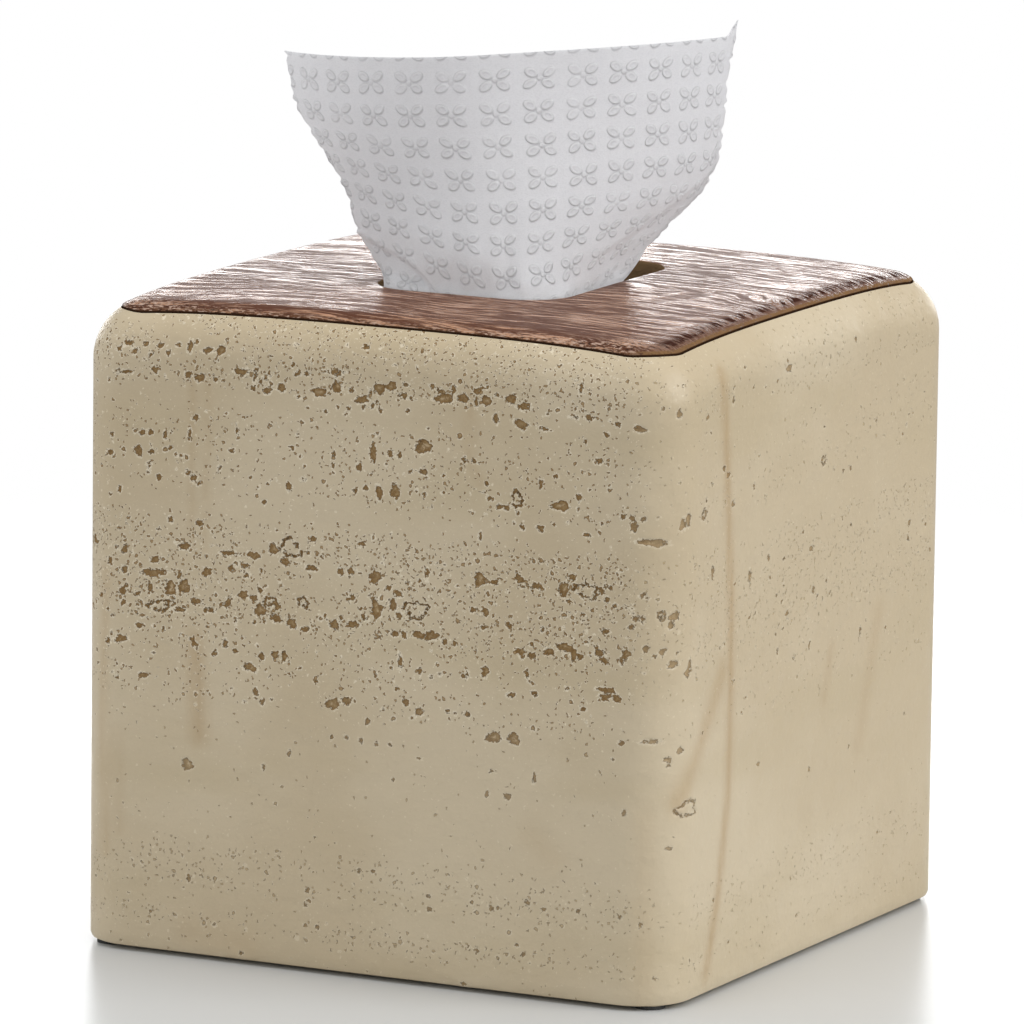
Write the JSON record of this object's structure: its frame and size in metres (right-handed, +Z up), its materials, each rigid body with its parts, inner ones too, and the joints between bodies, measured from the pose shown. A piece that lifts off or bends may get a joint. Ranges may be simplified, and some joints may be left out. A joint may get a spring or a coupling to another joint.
{
  "type": "tissue box cover",
  "caption": "Square cast-stone tissue box cover with a slotted wooden top, over a carton of tissues with one embossed sheet pulled up.",
  "frame": {"origin": "on the table, under the middle of the cover", "axes": "+Z up; -Y is the front face, with the wood grain and the slot's short side along X"},
  "size_m": [0.135, 0.135, 0.185],
  "materials": {
    "cast_stone": "matt, pitted",
    "walnut": "brushed, satin lacquer",
    "adhesive": "foam tape",
    "pad_rubber": "matt",
    "carton_card": "satin print",
    "film": "clear",
    "tissue": "soft, embossed"
  },
  "bodies": {
    "refill": {"tissue_carton": "carton_card", "slit_film": "film", "tissue_stack": "tissue", "next_tissue": "tissue"},
    "cover": {"stone_shell": "cast_stone", "bonding_sheet": "adhesive", "wood_top": "walnut", "base_pad_front_left": "pad_rubber", "base_pad_front_right": "pad_rubber", "base_pad_back_left": "pad_rubber", "base_pad_back_right": "pad_rubber"},
    "sheet": {"pulled_tissue": "tissue"}
  },
  "joints": [
    {"name": "cover_lift", "type": "slide", "parent": "refill", "child": "cover", "axis": [0, 0, 1], "range_m": [0, 0.15]},
    {"name": "tissue_pull", "type": "slide", "parent": "cover", "child": "sheet", "axis": [0, 0, 1], "range_m": [0, 0.095]}
  ]
}
